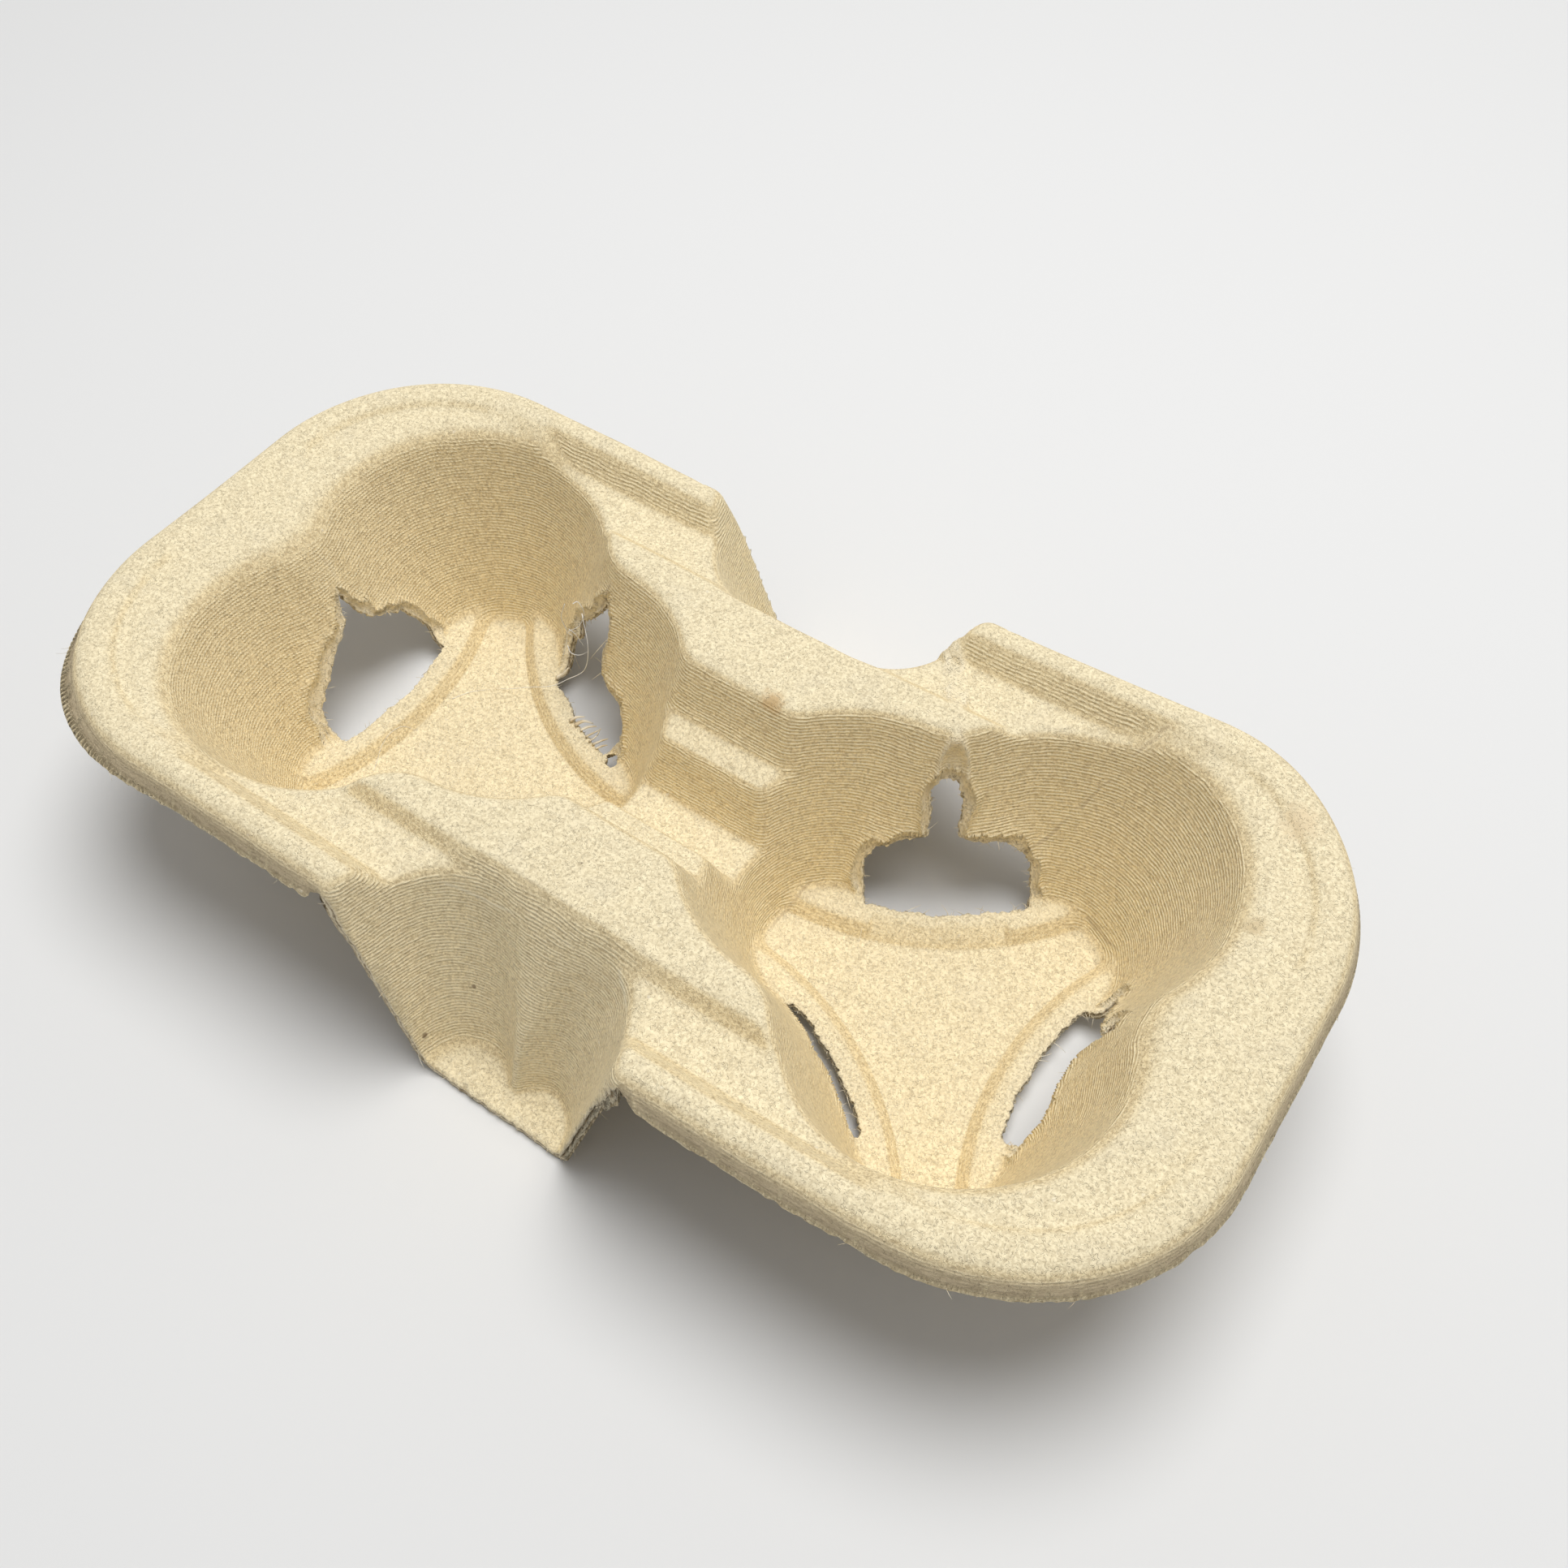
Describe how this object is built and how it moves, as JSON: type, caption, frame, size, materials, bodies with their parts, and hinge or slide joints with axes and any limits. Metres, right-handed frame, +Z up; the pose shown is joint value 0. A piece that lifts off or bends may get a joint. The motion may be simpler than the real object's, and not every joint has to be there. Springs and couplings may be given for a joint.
{
  "type": "cup carrier",
  "caption": "Moulded pulp tray that carries two cups in trefoil pockets, with a stepped channel between them, a rolled rim, thumb notches at the sides and torn slots in the pocket walls.",
  "frame": {"origin": "on the table, under the middle of the carrier", "axes": "+X along the carrier, +Y across it and +Z up"},
  "size_m": [0.208, 0.1086, 0.0428],
  "materials": {
    "moulded_pulp": "matt moulded pulp, speckled, smoother on its upper face"
  },
  "bodies": {
    "root": {"cup_carrier": "moulded_pulp"}
  },
  "joints": []
}
